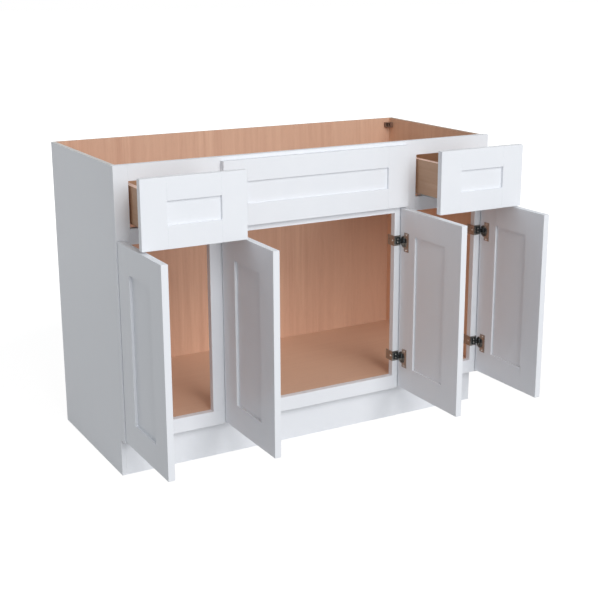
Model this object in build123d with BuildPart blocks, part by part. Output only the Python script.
from build123d import *
import os

os.makedirs("parts", exist_ok=True)

# A 48 inch sink base cabinet with a face frame, four framed doors on concealed hinges, a fixed
# false front over the bowl and a drawer at each end. The doors stand open at a right angle and
# the drawers are pulled part of the way out. The left end is finished, and stands flush with the
# frame; the right side is set in, so that the frame can meet a neighbour.
#
# Axes: x to the viewer's right, y towards the wall, z up. The origin is on the floor, on the
# wall plane, in the middle of the width. All sizes are in millimetres.

INCH = 25.4

# Cabinet
cabinet_width = 48 * INCH
cabinet_height = 34.5 * INCH
box_depth = 20.25 * INCH  # from the wall to the face of the frame

# Face frame
frame_thick = 0.75 * INCH
end_stile = 1.625 * INCH
mullion = 2.875 * INCH
frame_rail = 1.6875 * INCH
drawer_bay = 5 * INCH  # height of the openings behind the drawers
toe_height = 4.1875 * INCH
toe_recess = 1.25 * INCH

# Carcass
panel_thick = 0.5 * INCH
back_thick = 0.25 * INCH
side_inset = 0.625 * INCH  # right side, in from the end of the frame

# Fronts, shared by doors, drawers and the false front
front_thick = 0.75 * INCH
end_reveal = 0.1875 * INCH  # frame left showing at both ends
top_reveal = 0.375 * INCH  # frame left showing above the upper fronts
low_reveal = 0.25 * INCH  # frame left showing below the doors
front_gap = 0.25 * INCH  # between an outer and an inner front
gap_shift = 0.0625 * INCH  # middle of the mullion to the middle of that gap
middle_gap = 0.125 * INCH  # between the two inner doors
level_gap = 0.1875 * INCH  # between the doors and the fronts above them
upper_front = 7.25 * INCH  # height of the drawer fronts and the false front
door_stile = 3 * INCH
door_rail = 2.9375 * INCH
upper_stile = 72.0
upper_rail = 2.375 * INCH
groove_back = 5.5  # back face of a front to its panel groove
groove_wide = 6.05
groove_deep = 9.5
groove_slack = 0.1
panel_room = 1.5  # left at the bottom of the groove for the panel to move

# Hinges: single-pin concealed hinges, wrapped round the edge of the frame
hinge_inset = 100.0  # door end to hinge centre
door_gap = 3.2  # closed door to frame
pin_in = 7.5  # hinged edge of the door to the pin
pin_out = 12.0  # face of the frame to the pin
pin_radius = 1.5
pin_length = 19.0
pin_slack = 0.05
pin_sides = 16
cup_radius = 17.5
cup_edge = 3.0  # hinged edge of the door to the cup
cup_depth = 12.5
cup_wall = 1.0
cup_slack = 0.1
rim_lip = 1.4
flange_thick = 1.2
flange_wide = 24.0
flange_shift = 12.5  # middle of the cup to the middle of the flange
flange_end = 6.0  # screw to the end of the flange
lug_gap = 13.2  # between the two lugs that carry the pin
lug_deep = 5.3  # door's back face to the top of a lug
lug_reach = 3.5  # lug past the pin
arm_thick = 1.6
arm_tall = 12.6
arm_reach = 12.0  # pin to the part of the arm that leaves the cup
body_in = 10.0  # pin to the arm's body, which is fixed on the wrapped plate
body_wide = 14.0
body_tall = 21.0
body_thick = 3.5
eye_radius = 2.3
eye_sides = 12
wrap_thick = 1.5
wrap_in = 6.0  # pin to the end of the wrapped plate
wrap_tall = 31.0
wrap_deep = 34.0  # along the inner edge of the frame

# Screws
screw_radius = 1.75
screw_slack = 0.05
screw_hole = 2.1  # clearance hole in a steel plate
head_radius = 3.4
head_thick = 1.3
head_taper = 20
door_screw = 11.0
frame_screw = 16.0
head_sides = 12
shank_sides = 8
flange_screw_out = 5.5  # cup to the flange's screws
false_screw_bite = 10.0
false_screw_in = 25.0  # edge of the opening to the false front's screws

# Drawers
drawer_out = 150.5  # how far the drawers stand open
drawer_side_gap = 0.25 * INCH
drawer_lift = 10.6  # bottom of the opening to the bottom of the box
drawer_top_room = 13.4  # top of the box to the top of the opening
drawer_back_room = 54.0  # closed box to the back panel
box_side = 0.625 * INCH
bottom_thick = 0.25 * INCH
bottom_recess = 0.5 * INCH
bottom_let_in = 0.25 * INCH
bottom_slack = 0.1

# Under-mount slides: fixed runner, middle member and drawer member
slide_wide = 30.0
slide_sheet = 1.5
slide_channel = 7.0
slide_slot = 10.0
slide_slack = 0.4
slide_web = 8.0
slide_side_gap = 1.0  # drawer side to slide
slide_front = 3.0  # face of the frame to the runner
middle_front = 1.5  # closed drawer's sub-front to the middle member
middle_back = 1.825  # closed middle member to the end of the runner
runner_back_room = 52.0  # runner to the back panel
bracket_wide = 36.0
bracket_lap = 24.0  # shelf under the runner
bracket_tall = 30.0
bracket_drop = 14.0  # below the runner

# Plastic blocks in the top corners
block_side = 22.0
block_tall = 16.5
block_drop = 14.3  # top of the cabinet to the block
block_wall = 2.5
block_nose = 7.0
block_core = 12.0  # solid middle, round the hole for the worktop screw
block_hole = 2.5
block_hole_in = 7.0  # hole centre to both walls

# Worked out from the sizes above
face_y = -box_depth
frame_back_y = face_y + frame_thick
back_y = -back_thick
left_x = -cabinet_width / 2
mullion_x = -cabinet_width / 4
outer_bay = (left_x + end_stile, mullion_x - mullion / 2)
inner_bay_x = mullion_x + mullion / 2
inside_left_x = left_x + panel_thick
box_right_x = -left_x - side_inset
inside_right_x = box_right_x - panel_thick

floor_z = toe_height + frame_rail
upper_z = cabinet_height - frame_rail
drawer_bay_z = upper_z - drawer_bay
middle_z = drawer_bay_z - frame_rail

upper_front_top = cabinet_height - top_reveal
upper_front_low = upper_front_top - upper_front
door_low = toe_height + low_reveal
door_top = upper_front_low - level_gap
gap_x = mullion_x - gap_shift
outer_door_x = left_x + end_reveal
outer_width = gap_x - front_gap / 2 - outer_door_x
inner_door_x = gap_x + front_gap / 2
inner_width = -inner_door_x - middle_gap / 2
hinge_heights = (door_low + hinge_inset, door_top - hinge_inset)
hinged_edges = (outer_door_x, inner_door_x)
hinge_bays = (outer_bay[0], inner_bay_x)
pin_y = face_y - pin_out
pin_depth = pin_out - door_gap
cup_x = cup_edge + cup_radius
flange_x = cup_x + flange_shift
rim_radius = cup_radius + rim_lip
flange_screw_step = cup_radius + flange_screw_out
flange_tall = 2 * (flange_screw_step + flange_end)
wrap_screw_y = face_y + frame_thick / 2

drawer_y = face_y - door_gap - drawer_out
drawer_x = (outer_bay[0] + outer_bay[1]) / 2
box_wide = outer_bay[1] - outer_bay[0] - 2 * drawer_side_gap
box_low = drawer_bay_z + drawer_lift
box_bottom_z = box_low + bottom_recess
box_tall = drawer_bay - drawer_lift - drawer_top_room
box_long = box_depth - back_thick + door_gap - drawer_back_room
runner_long = box_depth - back_thick - slide_front - runner_back_room
middle_start = box_side + middle_front - door_gap  # closed, behind the face of the frame
middle_long = slide_front + runner_long - middle_start - middle_back
bracket_shelf = runner_back_room + bracket_lap
slide_offset = box_wide / 2 - box_side - slide_side_gap - slide_wide / 2
slide_centres = (drawer_x - slide_offset, drawer_x + slide_offset)


def write(piece, name):
    """Labels a finished piece and writes it."""
    piece.part.label = name
    export_step(piece.part, f"parts/{name}.step")


def write_pair(piece, name, twin):
    """Writes a piece of the left half, and its mirror image for the right half."""
    write(piece, name)
    with BuildPart() as mirrored:
        mirror(piece.part, about=Plane.YZ)
    write(mirrored, twin)


def rect(x0, x1, y0, y1, mode=Mode.ADD):
    """A rectangle between two x values and two y values of the sketch."""
    with Locations(((x0 + x1) / 2, (y0 + y1) / 2)):
        Rectangle(x1 - x0, y1 - y0, mode=mode)


def board(x, y, z):
    """A straight board between pairs of x, y and z values."""
    with BuildPart() as piece:
        with BuildSketch(Plane.XY.offset(z[0])):
            rect(*x, *y)
        extrude(amount=z[1] - z[0])
    return piece


# Carcass ------------------------------------------------------------------------------------


def side_panel(x, notch_y):
    """A full-depth side whose lower front corner is cut away for the toes."""
    with BuildPart() as piece:
        with BuildSketch(Plane.YZ.offset(x)):
            rect(frame_back_y, 0, 0, cabinet_height)
            rect(frame_back_y, notch_y, 0, toe_height, mode=Mode.SUBTRACT)
        extrude(amount=panel_thick)
    return piece


toe_y = face_y + toe_recess
toe_back_y = toe_y + panel_thick
inside_x = (inside_left_x, inside_right_x)
write(side_panel(left_x, toe_y), "finished_end_panel")
write(side_panel(inside_right_x, toe_back_y), "side_panel_right")
write(board(inside_x, (back_y, 0), (0, cabinet_height)), "back_panel")
floor_span = (floor_z - panel_thick, floor_z)
write(board(inside_x, (frame_back_y, back_y), floor_span), "floor_panel")
toe_span = (toe_y, toe_back_y)
write(board((inside_left_x, box_right_x), toe_span, (0, toe_height)), "toe_kick_board")

# Face frame ---------------------------------------------------------------------------------


def hinge_pilots(edge_x):
    """Screw holes for the two hinges on one inner edge of the frame."""
    with BuildSketch(Plane.YZ.offset(edge_x)) as holes:
        with Locations(*[(wrap_screw_y, z) for z in hinge_heights]):
            RegularPolygon(screw_radius + screw_slack, shank_sides)
    extrude(holes.sketch, amount=-frame_screw - screw_slack, mode=Mode.SUBTRACT)


false_overlap = inner_bay_x - inner_door_x
false_screw_x = inner_door_x + false_overlap / 2
false_screw_heights = (drawer_bay_z + false_screw_in, upper_z - false_screw_in)

with BuildPart() as frame_stiles:
    with BuildSketch(Plane.XY.offset(toe_height)):
        rect(left_x, outer_bay[0], face_y, frame_back_y)
    extrude(amount=cabinet_height - toe_height)
    hinge_pilots(outer_bay[0])
    mirror(about=Plane.YZ)
write(frame_stiles, "frame_stiles")

with BuildPart() as mullions:
    with BuildSketch(Plane.XY.offset(floor_z)):
        rect(outer_bay[1], inner_bay_x, face_y, frame_back_y)
    extrude(amount=upper_z - floor_z)
    hinge_pilots(inner_bay_x)
    with BuildSketch(Plane.XZ.offset(-frame_back_y)):
        with Locations(*[(false_screw_x, z) for z in false_screw_heights]):
            RegularPolygon(screw_radius + screw_slack, shank_sides)
    extrude(amount=frame_thick, mode=Mode.SUBTRACT)
    mirror(about=Plane.YZ)
write(mullions, "frame_mullions")

between_stiles = (outer_bay[0], -outer_bay[0])
frame_y = (face_y, frame_back_y)
write(board(between_stiles, frame_y, (upper_z, cabinet_height)), "top_rail")
write(board(between_stiles, frame_y, (toe_height, floor_z)), "bottom_rail")

with BuildPart() as middle_rails:
    with BuildSketch(Plane.XY.offset(middle_z)):
        rect(*outer_bay, *frame_y)
        rect(inner_bay_x, -inner_bay_x, *frame_y)
        rect(-outer_bay[1], -outer_bay[0], *frame_y)
    extrude(amount=frame_rail)
write(middle_rails, "middle_rails")

# Fronts -------------------------------------------------------------------------------------


def framed_front(face, width, height, stile, rail, cups=(), screw_depth=0, screw_places=()):
    """The stiles, rails and panel of one front, laid out on its back face.

    height is the pair of levels it lies between. Its back has screw holes of a given depth,
    and on a door the two bores of the hinge cups.
    """
    low, high = height
    groove = (stile - groove_deep, width - stile + groove_deep)
    tongue = groove_deep - panel_room
    with BuildPart() as stiles:
        with BuildSketch(face):
            rect(0, stile, low, high)
            rect(width - stile, width, low, high)
        extrude(amount=front_thick)
        with BuildSketch(face.offset(groove_back)):
            rect(*groove, low, high)
        extrude(amount=groove_wide, mode=Mode.SUBTRACT)
        if cups:
            with BuildSketch(face):
                with Locations(*cups):
                    Circle(cup_radius + cup_slack)
            extrude(amount=cup_depth + 2 * cup_slack, mode=Mode.SUBTRACT)
        if screw_places:
            with BuildSketch(face):
                with Locations(*screw_places):
                    RegularPolygon(screw_radius + screw_slack, shank_sides)
            extrude(amount=screw_depth + screw_slack, mode=Mode.SUBTRACT)
    with BuildPart() as rails:
        with BuildSketch(face):
            rect(stile, width - stile, low, low + rail)
            rect(stile, width - stile, high - rail, high)
        extrude(amount=front_thick)
        with BuildSketch(face.offset(groove_back + groove_slack)):
            rect(*groove, low, low + rail)
            rect(*groove, high - rail, high)
        extrude(amount=groove_wide - 2 * groove_slack)
        with BuildSketch(face.offset(groove_back)):
            rect(*groove, low + rail - groove_deep, high - rail + groove_deep)
        extrude(amount=groove_wide, mode=Mode.SUBTRACT)
    with BuildPart() as panel:
        with BuildSketch(face.offset(groove_back + groove_slack)):
            rect(stile - tongue, width - stile + tongue, low + rail - tongue, high - rail + tongue)
        extrude(amount=groove_wide - 2 * groove_slack)
    return stiles, rails, panel


def flat_front_face(x, y):
    """Back face of a closed front: x to the right, y up, z towards the viewer."""
    return Plane(origin=(x, y, 0), x_dir=(1, 0, 0), z_dir=(0, -1, 0))


def open_door_face(edge_x):
    """Back face of an open door: x along it from the hinged edge, y up, z towards its front."""
    origin = (edge_x + pin_in + pin_depth, pin_y + pin_in, 0)
    return Plane(origin=origin, x_dir=(0, -1, 0), z_dir=(-1, 0, 0))


upper_height = (upper_front_low, upper_front_top)
door_height = (door_low, door_top)

# The false front is screwed to the face of the frame from behind.
false_width = -2 * inner_door_x
false_places = []
for false_side_x in (false_overlap / 2, false_width - false_overlap / 2):
    for false_screw_z in false_screw_heights:
        false_places.append((false_side_x, false_screw_z))
false_front = framed_front(
    flat_front_face(inner_door_x, face_y),
    false_width,
    upper_height,
    upper_stile,
    upper_rail,
    screw_depth=false_screw_bite,
    screw_places=false_places,
)
for false_piece, false_name in zip(false_front, ("stiles", "rails", "panel")):
    write(false_piece, f"false_front_{false_name}")

# Doors and the cups of their hinges ---------------------------------------------------------

flange_screw_places = []
for hinge_z in hinge_heights:
    for screw_step in (-flange_screw_step, flange_screw_step):
        flange_screw_places.append((flange_x, hinge_z + screw_step))
cup_places = [(cup_x, hinge_z) for hinge_z in hinge_heights]


def hinge_cups(edge_x):
    """The two pressed cups of one door, each with its flange, rim, lugs and pin holes."""
    face = open_door_face(edge_x)
    flange_span = (flange_x - flange_wide / 2, flange_x + flange_wide / 2)
    with BuildPart() as cups:
        for z in hinge_heights:
            with BuildSketch(face):
                with Locations((cup_x, z)):
                    Circle(cup_radius)
            extrude(amount=cup_depth)
            with BuildSketch(face):
                with Locations((cup_x, z)):
                    Circle(rim_radius)
                rect(*flange_span, z - flange_tall / 2, z + flange_tall / 2)
            extrude(amount=-flange_thick)
            with BuildSketch(face.offset(-flange_thick)):
                with Locations((cup_x, z)):
                    Circle(cup_radius - cup_wall)
            extrude(amount=cup_depth - cup_wall + flange_thick, mode=Mode.SUBTRACT)
            # The lugs that hold the pin's ends, inside the cup.
            with BuildSketch(face.offset(lug_deep)):
                rect(0, pin_in + lug_reach, z - cup_radius, z + cup_radius)
                with Locations((cup_x, z)):
                    Circle(cup_radius - cup_wall / 2, mode=Mode.INTERSECT)
                rect(0, pin_in + lug_reach, z - lug_gap / 2, z + lug_gap / 2, Mode.SUBTRACT)
            extrude(amount=cup_depth - cup_wall - lug_deep)
            # The side of the cup is open between the lugs, where the arm swings out.
            with BuildSketch(face.offset(-flange_thick)):
                rect(0, pin_in, z - lug_gap / 2, z + lug_gap / 2)
            extrude(amount=cup_depth - cup_wall + flange_thick, mode=Mode.SUBTRACT)
            with BuildSketch(Plane.XY.offset(z - pin_length / 2 - pin_slack)):
                with Locations((edge_x + pin_in, pin_y)):
                    RegularPolygon(pin_radius + pin_slack, pin_sides, major_radius=False)
            extrude(amount=pin_length + 2 * pin_slack, mode=Mode.SUBTRACT)
        with BuildSketch(face.offset(-flange_thick)):
            with Locations(*flange_screw_places):
                RegularPolygon(screw_hole, shank_sides)
        extrude(amount=flange_thick, mode=Mode.SUBTRACT)
    return cups


def wood_screws(seat, places, long):
    """Flat-topped screws whose heads lie on a seat, behind which the shanks run forward."""
    with BuildPart() as screws:
        with BuildSketch(seat):
            with Locations(*places):
                RegularPolygon(head_radius, head_sides)
        extrude(amount=-head_thick, taper=head_taper)
        with BuildSketch(seat):
            with Locations(*places):
                RegularPolygon(screw_radius, shank_sides)
        extrude(amount=long)
    return screws


def flange_screws(edge_x):
    """The pan-head screws that hold the hinge flanges to one door."""
    return wood_screws(
        open_door_face(edge_x).offset(-flange_thick), flange_screw_places, flange_thick + door_screw
    )


doors = (
    (outer_door_x, outer_width, "left_outer_door", "right_outer_door"),
    (inner_door_x, inner_width, "left_inner_door", "right_inner_door"),
)
for edge_x, door_width, left_name, right_name in doors:
    door = framed_front(
        open_door_face(edge_x),
        door_width,
        door_height,
        door_stile,
        door_rail,
        cup_places,
        door_screw,
        flange_screw_places,
    )
    for door_piece, piece_name in zip(door, ("stiles", "rails", "panel")):
        write_pair(door_piece, f"{left_name}_{piece_name}", f"{right_name}_{piece_name}")
    write_pair(hinge_cups(edge_x), f"{left_name}_hinge_cups", f"{right_name}_hinge_cups")
    write_pair(
        flange_screws(edge_x), f"{left_name}_hinge_screws", f"{right_name}_hinge_screws"
    )

# Hinge parts on the frame -------------------------------------------------------------------

with BuildPart() as hinge_pins:
    for edge_x in hinged_edges:
        for hinge_z in hinge_heights:
            with BuildSketch(Plane.XY.offset(hinge_z - pin_length / 2)):
                with Locations((edge_x + pin_in, pin_y)):
                    RegularPolygon(pin_radius, pin_sides)
            extrude(amount=pin_length)
    mirror(about=Plane.YZ)
write(hinge_pins, "hinge_pins")

# Each arm runs along inside the cup from its pin, turns out of the cup's mouth and ends in a
# body that lies on the wrapped plate and folds into the cup as the door closes.
with BuildPart() as hinge_arms:
    for edge_x in hinged_edges:
        pin_x = edge_x + pin_in
        turn_x = pin_x + arm_reach
        foot_y = face_y - wrap_thick
        for hinge_z in hinge_heights:
            with BuildSketch(Plane.XY.offset(hinge_z - arm_tall / 2)):
                with Locations((pin_x, pin_y)):
                    RegularPolygon(eye_radius, eye_sides)
                rect(pin_x, turn_x + arm_thick / 2, pin_y - arm_thick / 2, pin_y + arm_thick / 2)
                rect(turn_x - arm_thick / 2, turn_x + arm_thick / 2, pin_y, foot_y)
                with Locations((pin_x, pin_y)):
                    hole = pin_radius + pin_slack
                    RegularPolygon(hole, pin_sides, major_radius=False, mode=Mode.SUBTRACT)
            extrude(amount=arm_tall)
            with BuildSketch(Plane.XY.offset(hinge_z - body_tall / 2)):
                body_x = pin_x + body_in
                rect(body_x, body_x + body_wide, foot_y - body_thick, foot_y)
            extrude(amount=body_tall)
    mirror(about=Plane.YZ)
write(hinge_arms, "hinge_arms")

with BuildPart() as hinge_plates:
    for edge_x, bay_x in zip(hinged_edges, hinge_bays):
        plate_x = edge_x + pin_in + wrap_in
        wrap_x = bay_x + wrap_thick
        for hinge_z in hinge_heights:
            with BuildSketch(Plane.XY.offset(hinge_z - wrap_tall / 2)):
                rect(plate_x, wrap_x, face_y - wrap_thick, face_y)
                rect(bay_x, wrap_x, face_y - wrap_thick, face_y + wrap_deep)
            extrude(amount=wrap_tall)
            with BuildSketch(Plane.YZ.offset(bay_x)):
                with Locations((wrap_screw_y, hinge_z)):
                    RegularPolygon(screw_hole, shank_sides)
            extrude(amount=wrap_thick, mode=Mode.SUBTRACT)
    mirror(about=Plane.YZ)
write(hinge_plates, "hinge_frame_plates")

with BuildPart() as frame_screws:
    for bay_x in hinge_bays:
        # Seen from the opening, with the shanks running into the frame.
        seat = Plane(origin=(bay_x + wrap_thick, 0, 0), x_dir=(0, -1, 0), z_dir=(-1, 0, 0))
        wrap_screw_places = [(-wrap_screw_y, hinge_z) for hinge_z in hinge_heights]
        add(wood_screws(seat, wrap_screw_places, wrap_thick + frame_screw).part)
    mirror(about=Plane.YZ)
write(frame_screws, "hinge_frame_screws")

# Drawers ------------------------------------------------------------------------------------

drawer_front = framed_front(
    flat_front_face(outer_door_x, drawer_y), outer_width, upper_height, upper_stile, upper_rail
)
for front_piece, front_name in zip(drawer_front, ("stiles", "rails", "panel")):
    write_pair(front_piece, f"left_drawer_front_{front_name}", f"right_drawer_front_{front_name}")

box_x = (drawer_x - box_wide / 2, drawer_x + box_wide / 2)
box_inside_x = (box_x[0] + box_side, box_x[1] - box_side)
box_y = (drawer_y, drawer_y + box_long)
box_inside_y = (box_y[0] + box_side, box_y[1] - box_side)
box_top = box_low + box_tall
bottom_top = box_bottom_z + bottom_thick

with BuildPart() as box_sides:
    with BuildSketch(Plane.XY.offset(box_low)):
        rect(box_x[0], box_inside_x[0], *box_y)
        rect(box_inside_x[1], box_x[1], *box_y)
    extrude(amount=box_tall)
    with BuildSketch(Plane.XY.offset(box_bottom_z)):
        rect(box_inside_x[0] - bottom_let_in, box_inside_x[1] + bottom_let_in, *box_y)
    extrude(amount=bottom_thick + bottom_slack, mode=Mode.SUBTRACT)
write_pair(box_sides, "left_drawer_box_sides", "right_drawer_box_sides")

# The front of the box has the same groove, and the back stands on the bottom.
with BuildPart() as box_ends:
    with BuildSketch(Plane.XY.offset(box_low)):
        rect(*box_inside_x, box_y[0], box_inside_y[0])
    extrude(amount=box_tall)
    with BuildSketch(Plane.XY.offset(box_bottom_z)):
        rect(*box_inside_x, box_inside_y[0] - bottom_let_in, box_inside_y[0])
    extrude(amount=bottom_thick + bottom_slack, mode=Mode.SUBTRACT)
    with BuildSketch(Plane.XY.offset(bottom_top)):
        rect(*box_inside_x, box_inside_y[1], box_y[1])
    extrude(amount=box_top - bottom_top)
write_pair(box_ends, "left_drawer_box_ends", "right_drawer_box_ends")

bottom_x = (box_inside_x[0] - bottom_let_in + bottom_slack, box_inside_x[1] + bottom_let_in - bottom_slack)
bottom_y = (box_inside_y[0] - bottom_let_in + bottom_slack, box_y[1])
box_bottom = board(bottom_x, bottom_y, (box_bottom_z, bottom_top))
write_pair(box_bottom, "left_drawer_bottom", "right_drawer_bottom")

# Slides -------------------------------------------------------------------------------------


def channel(y, long, low, slot_low):
    """A lipped channel under each side of the left drawer, its slot towards slot_low."""
    with BuildPart() as piece:
        with BuildSketch(Plane.XZ.offset(-y - long)):
            for x in slide_centres:
                rect(x - slide_wide / 2, x + slide_wide / 2, low, low + slide_channel)
                inner = slide_wide / 2 - slide_sheet
                inner_z = (low + slide_sheet, low + slide_channel - slide_sheet)
                rect(x - inner, x + inner, *inner_z, Mode.SUBTRACT)
                slot = slide_slot / 2
                rect(x - slot, x + slot, slot_low, slot_low + slide_sheet, Mode.SUBTRACT)
        extrude(amount=long)
    return piece


middle_y = face_y + middle_start - drawer_out / 2
drawer_member_y = drawer_y + box_side
runner_slot = drawer_bay_z + slide_channel - slide_sheet
drawer_member_low = box_bottom_z - slide_channel

with BuildPart() as runners:
    add(channel(face_y + slide_front, runner_long, drawer_bay_z, runner_slot).part)
    mirror(about=Plane.YZ)
write(runners, "slide_runners")

member_long = box_long - box_side
drawer_members = channel(drawer_member_y, member_long, drawer_member_low, drawer_member_low)
write_pair(drawer_members, "left_drawer_slide_members", "right_drawer_slide_members")

with BuildPart() as middle_members:
    flange_half = slide_wide / 2 - slide_sheet - slide_slack
    low_flange = (
        drawer_bay_z + slide_sheet + slide_slack,
        drawer_bay_z + slide_channel - slide_sheet - slide_slack,
    )
    high_flange = (
        drawer_member_low + slide_sheet + slide_slack,
        drawer_member_low + slide_channel - slide_sheet - slide_slack,
    )
    with BuildSketch(Plane.XZ.offset(-middle_y - middle_long)):
        for slide_x in slide_centres:
            rect(slide_x - flange_half, slide_x + flange_half, *low_flange)
            rect(slide_x - flange_half, slide_x + flange_half, *high_flange)
            rect(slide_x - slide_web / 2, slide_x + slide_web / 2, low_flange[0], high_flange[1])
    extrude(amount=middle_long)
write_pair(middle_members, "left_slide_middle_members", "right_slide_middle_members")

with BuildPart() as brackets:
    for slide_x in slide_centres:
        bracket_x = (slide_x - bracket_wide / 2, slide_x + bracket_wide / 2)
        shelf_low = drawer_bay_z - slide_sheet
        with BuildSketch(Plane.XY.offset(shelf_low)):
            rect(*bracket_x, back_y - bracket_shelf, back_y)
        extrude(amount=slide_sheet)
        with BuildSketch(Plane.XY.offset(drawer_bay_z - bracket_drop)):
            rect(*bracket_x, back_y - slide_sheet, back_y)
        extrude(amount=bracket_tall)
    mirror(about=Plane.YZ)
write(brackets, "slide_rear_brackets")

# Corner blocks ------------------------------------------------------------------------------

block_top = cabinet_height - block_drop
block_low = block_top - block_tall


def in_corner(x, into_x, y, into_y, near, far):
    """A rectangle in plan between two points, each given as distances from the two walls."""
    across = sorted((x + into_x * near[0], x + into_x * far[0]))
    along = sorted((y + into_y * near[1], y + into_y * far[1]))
    rect(*across, *along)


# Each block has a screw pocket on either side of its core, open towards the room.
with BuildPart() as corner_blocks:
    for x, into_x in ((inside_left_x, 1), (inside_right_x, -1)):
        for y, into_y in ((back_y, -1), (frame_back_y, 1)):
            corner = (x, into_x, y, into_y)
            plan = ((0, 0), (block_side, 0), (block_side, block_nose), (block_nose, block_side))
            corners = [(x + into_x * u, y + into_y * v) for u, v in (*plan, (0, block_side))]
            with BuildSketch(Plane.XY.offset(block_low)):
                with BuildLine():
                    Polyline(*corners, close=True)
                make_face()
            extrude(amount=block_tall)
            pocket_end = block_side - block_wall
            with BuildSketch(Plane.XY.offset(block_low + block_wall)):
                in_corner(*corner, (block_core, block_wall), (pocket_end, block_side))
                in_corner(*corner, (block_wall, block_core), (block_side, pocket_end))
            extrude(amount=block_tall - 2 * block_wall, mode=Mode.SUBTRACT)
            with BuildSketch(Plane.XY.offset(block_low)):
                with Locations((x + into_x * block_hole_in, y + into_y * block_hole_in)):
                    Circle(block_hole)
            extrude(amount=block_tall, mode=Mode.SUBTRACT)
write(corner_blocks, "corner_blocks")

# Screws through the mullions into the back of the false front -------------------------------

false_screw_places = [(false_screw_x, screw_z) for screw_z in false_screw_heights]
with BuildPart() as false_front_screws:
    seat = Plane(origin=(0, frame_back_y, 0), x_dir=(1, 0, 0), z_dir=(0, -1, 0))
    add(wood_screws(seat, false_screw_places, frame_thick + false_screw_bite).part)
    mirror(about=Plane.YZ)
write(false_front_screws, "false_front_screws")
